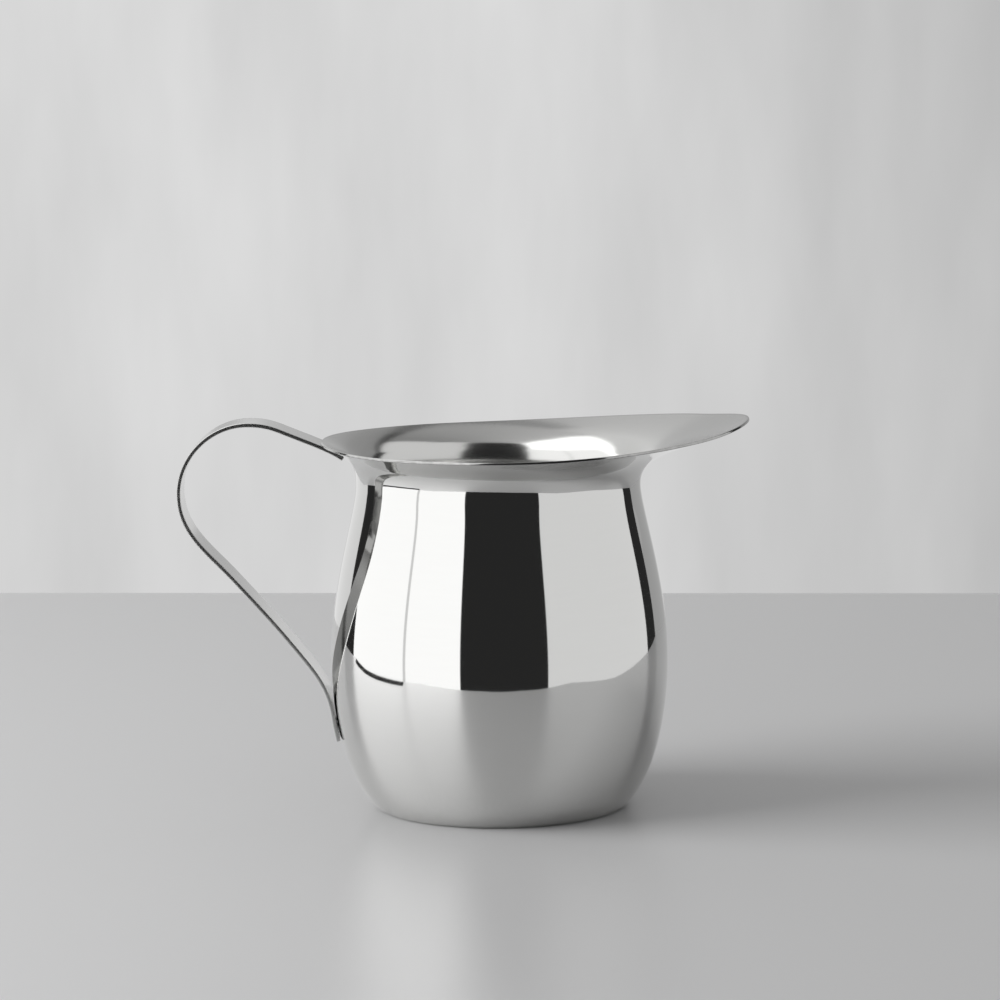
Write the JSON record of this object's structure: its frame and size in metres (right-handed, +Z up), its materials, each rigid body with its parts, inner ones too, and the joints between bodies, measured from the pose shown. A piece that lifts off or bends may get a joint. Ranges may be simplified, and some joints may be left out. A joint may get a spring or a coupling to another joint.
{
  "type": "bell creamer",
  "caption": "Bell-shaped steel creamer: a drawn round cup whose flared lip is pulled out into a broad pouring spout, with a bent strap handle spot-welded under the lip and on the belly.",
  "frame": {"origin": "middle of the foot ring, on the table, on the round cup's axis", "axes": "+Z up, +X towards the spout's tip, the handle stands at -X"},
  "size_m": [0.1181, 0.0778, 0.0807],
  "materials": {
    "polished_steel": "polished outside, satin inside",
    "strap_steel": "polished with rounded edges",
    "weld_steel": "fused spot-weld nugget"
  },
  "bodies": {
    "root": {"body_shell": "polished_steel", "handle_strap": "strap_steel", "upper_welds": "weld_steel", "lower_welds": "weld_steel"}
  },
  "joints": []
}
